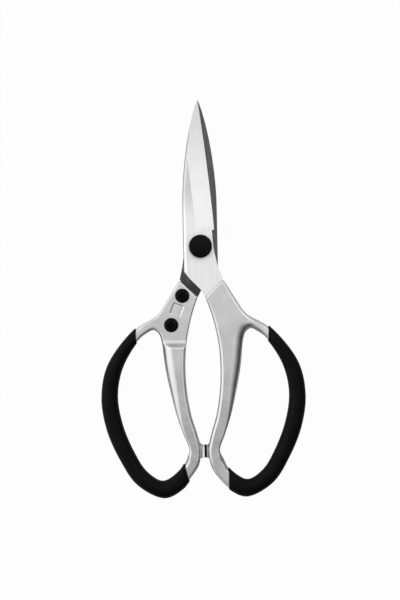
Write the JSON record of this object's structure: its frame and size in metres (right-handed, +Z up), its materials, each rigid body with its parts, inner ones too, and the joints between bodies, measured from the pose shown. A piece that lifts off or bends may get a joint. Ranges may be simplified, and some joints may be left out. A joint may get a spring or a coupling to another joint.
{
  "type": "garden shears",
  "caption": "Garden shears with cast finger-loop handles, rubber grips and crossing ground blades that turn on a capped pivot.",
  "frame": {"origin": "on the pivot axis, in the plane that the handles and the bolt head rest on", "axes": "+Y along the closed blades to the tips, +X to the right-hand finger loop, +Z up out of the bevelled front blade"},
  "size_m": [0.1074, 0.209, 0.0125],
  "materials": {
    "cast_aluminium": "fine satin casting",
    "blade_steel": "ground and polished",
    "grip_rubber": "smooth soft sheen",
    "black_steel": "blackened",
    "black_plastic": "smooth moulded",
    "bright_steel": "zinc plated"
  },
  "bodies": {
    "left_half": {"left_handle": "cast_aluminium", "left_grip": "grip_rubber", "rear_blade": "blade_steel", "left_screw_upper": "black_steel", "left_screw_lower": "black_steel", "pivot_bolt": "black_steel", "spring_washer": "bright_steel", "pivot_nut": "bright_steel", "pivot_cap": "black_plastic"},
    "right_half": {"right_handle": "cast_aluminium", "right_grip": "grip_rubber", "front_blade": "blade_steel", "right_screw_upper": "black_steel", "right_screw_lower": "black_steel", "stop_buffer": "black_plastic"}
  },
  "joints": [
    {"name": "pivot", "type": "hinge", "parent": "left_half", "child": "right_half", "pos_m": [0, 0, 0.0053], "axis": [0, 0, 1], "range_deg": [0, 118]}
  ]
}
